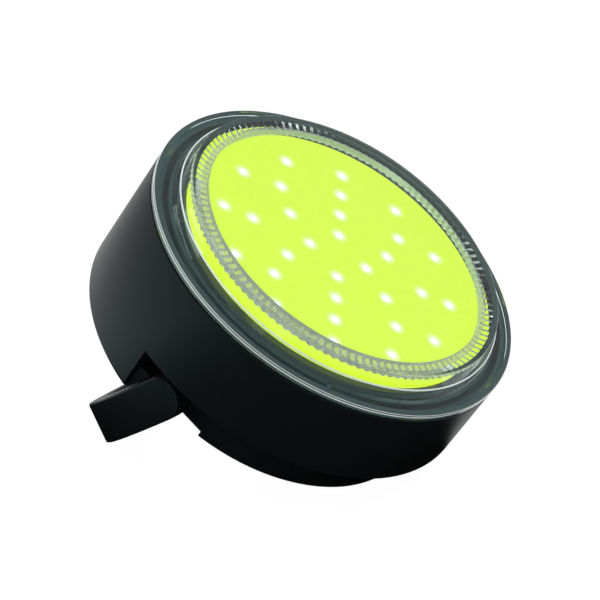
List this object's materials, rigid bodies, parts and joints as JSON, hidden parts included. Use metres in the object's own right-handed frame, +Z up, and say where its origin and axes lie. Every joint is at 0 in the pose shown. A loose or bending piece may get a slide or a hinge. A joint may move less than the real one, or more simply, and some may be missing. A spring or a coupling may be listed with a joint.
{
  "type": "led safety flare",
  "caption": "Round black LED road flare with a clear ribbed lens over a glowing yellow-green face, a rear magnet and button, propped up on its hinged bail.",
  "frame": {"origin": "centre of the bounding box's bottom, on the surface that the flare and its open bail stand on", "axes": "+Z up; +X to the side that the lit face leans up towards, square to the bail's hinge; +Y along the bail's hinge"},
  "size_m": [0.1038, 0.1, 0.0842],
  "materials": {
    "housing": "satin black moulded plastic with a fine grain",
    "lens": "clear polished plastic",
    "seal": "matt black rubber",
    "face_plate": "glowing yellow-green translucent plastic",
    "led": "glowing white LED with a round window",
    "led_board": "black solder mask",
    "control_board": "green solder mask",
    "screw": "plated steel",
    "switch": "small tactile switch",
    "button": "soft matt black rubber",
    "battery": "plain foil sleeve, unprinted",
    "contact": "nickel-plated spring steel",
    "door": "satin black moulded plastic",
    "magnet": "nickel-plated magnet",
    "lead_red": "red wire insulation",
    "lead_black": "black wire insulation",
    "bail": "satin black moulded plastic",
    "pin": "turned steel pin"
  },
  "bodies": {
    "flare": {"housing": "housing", "lens": "lens", "lens_seal": "seal", "face_plate": "face_plate", "led_board": "led_board", "led_ring1_1": "led", "led_ring1_2": "led", "led_ring1_3": "led", "led_ring1_4": "led", "led_ring2_1": "led", "led_ring2_2": "led", "led_ring2_3": "led", "led_ring2_4": "led", "led_ring2_5": "led", "led_ring2_6": "led", "led_ring3_1": "led", "led_ring3_2": "led", "led_ring3_3": "led", "led_ring3_4": "led", "led_ring3_5": "led", "led_ring3_6": "led", "led_ring3_7": "led", "led_ring3_8": "led", "led_ring4_1": "led", "led_ring4_2": "led", "led_ring4_3": "led", "led_ring4_4": "led", "led_ring4_5": "led", "led_ring4_6": "led", "led_ring4_7": "led", "led_ring4_8": "led", "led_ring4_9": "led", "led_ring4_10": "led", "led_ring4_11": "led", "led_ring4_12": "led", "led_board_screw_1": "screw", "led_board_screw_2": "screw", "control_board": "control_board", "control_board_screw": "screw", "tact_switch": "switch", "battery_1": "battery", "battery_2": "battery", "battery_3": "battery", "positive_contact": "contact", "negative_contact": "contact", "link_contact_1": "contact", "link_contact_2": "contact", "battery_door": "door", "door_seal": "seal", "door_screw": "screw", "magnet": "magnet", "battery_lead_red": "lead_red", "battery_lead_black": "lead_black", "led_lead_red": "lead_red", "led_lead_black": "lead_black", "bail_pin_1": "pin", "bail_pin_2": "pin"},
    "bail": {"bail": "bail"},
    "button": {"push_button": "button", "switch_plunger": "switch"}
  },
  "joints": [
    {"name": "bail_hinge", "type": "hinge", "parent": "flare", "child": "bail", "pos_m": [-0.00642, 0, 0.02987], "axis": [0, -1, 0], "range_deg": [0, 113.6]},
    {"name": "button_press", "type": "slide", "parent": "flare", "child": "button", "axis": [0.5849, 0, 0.8111], "range_m": [0, 0.0006], "stiffness_N_per_m": 800}
  ]
}
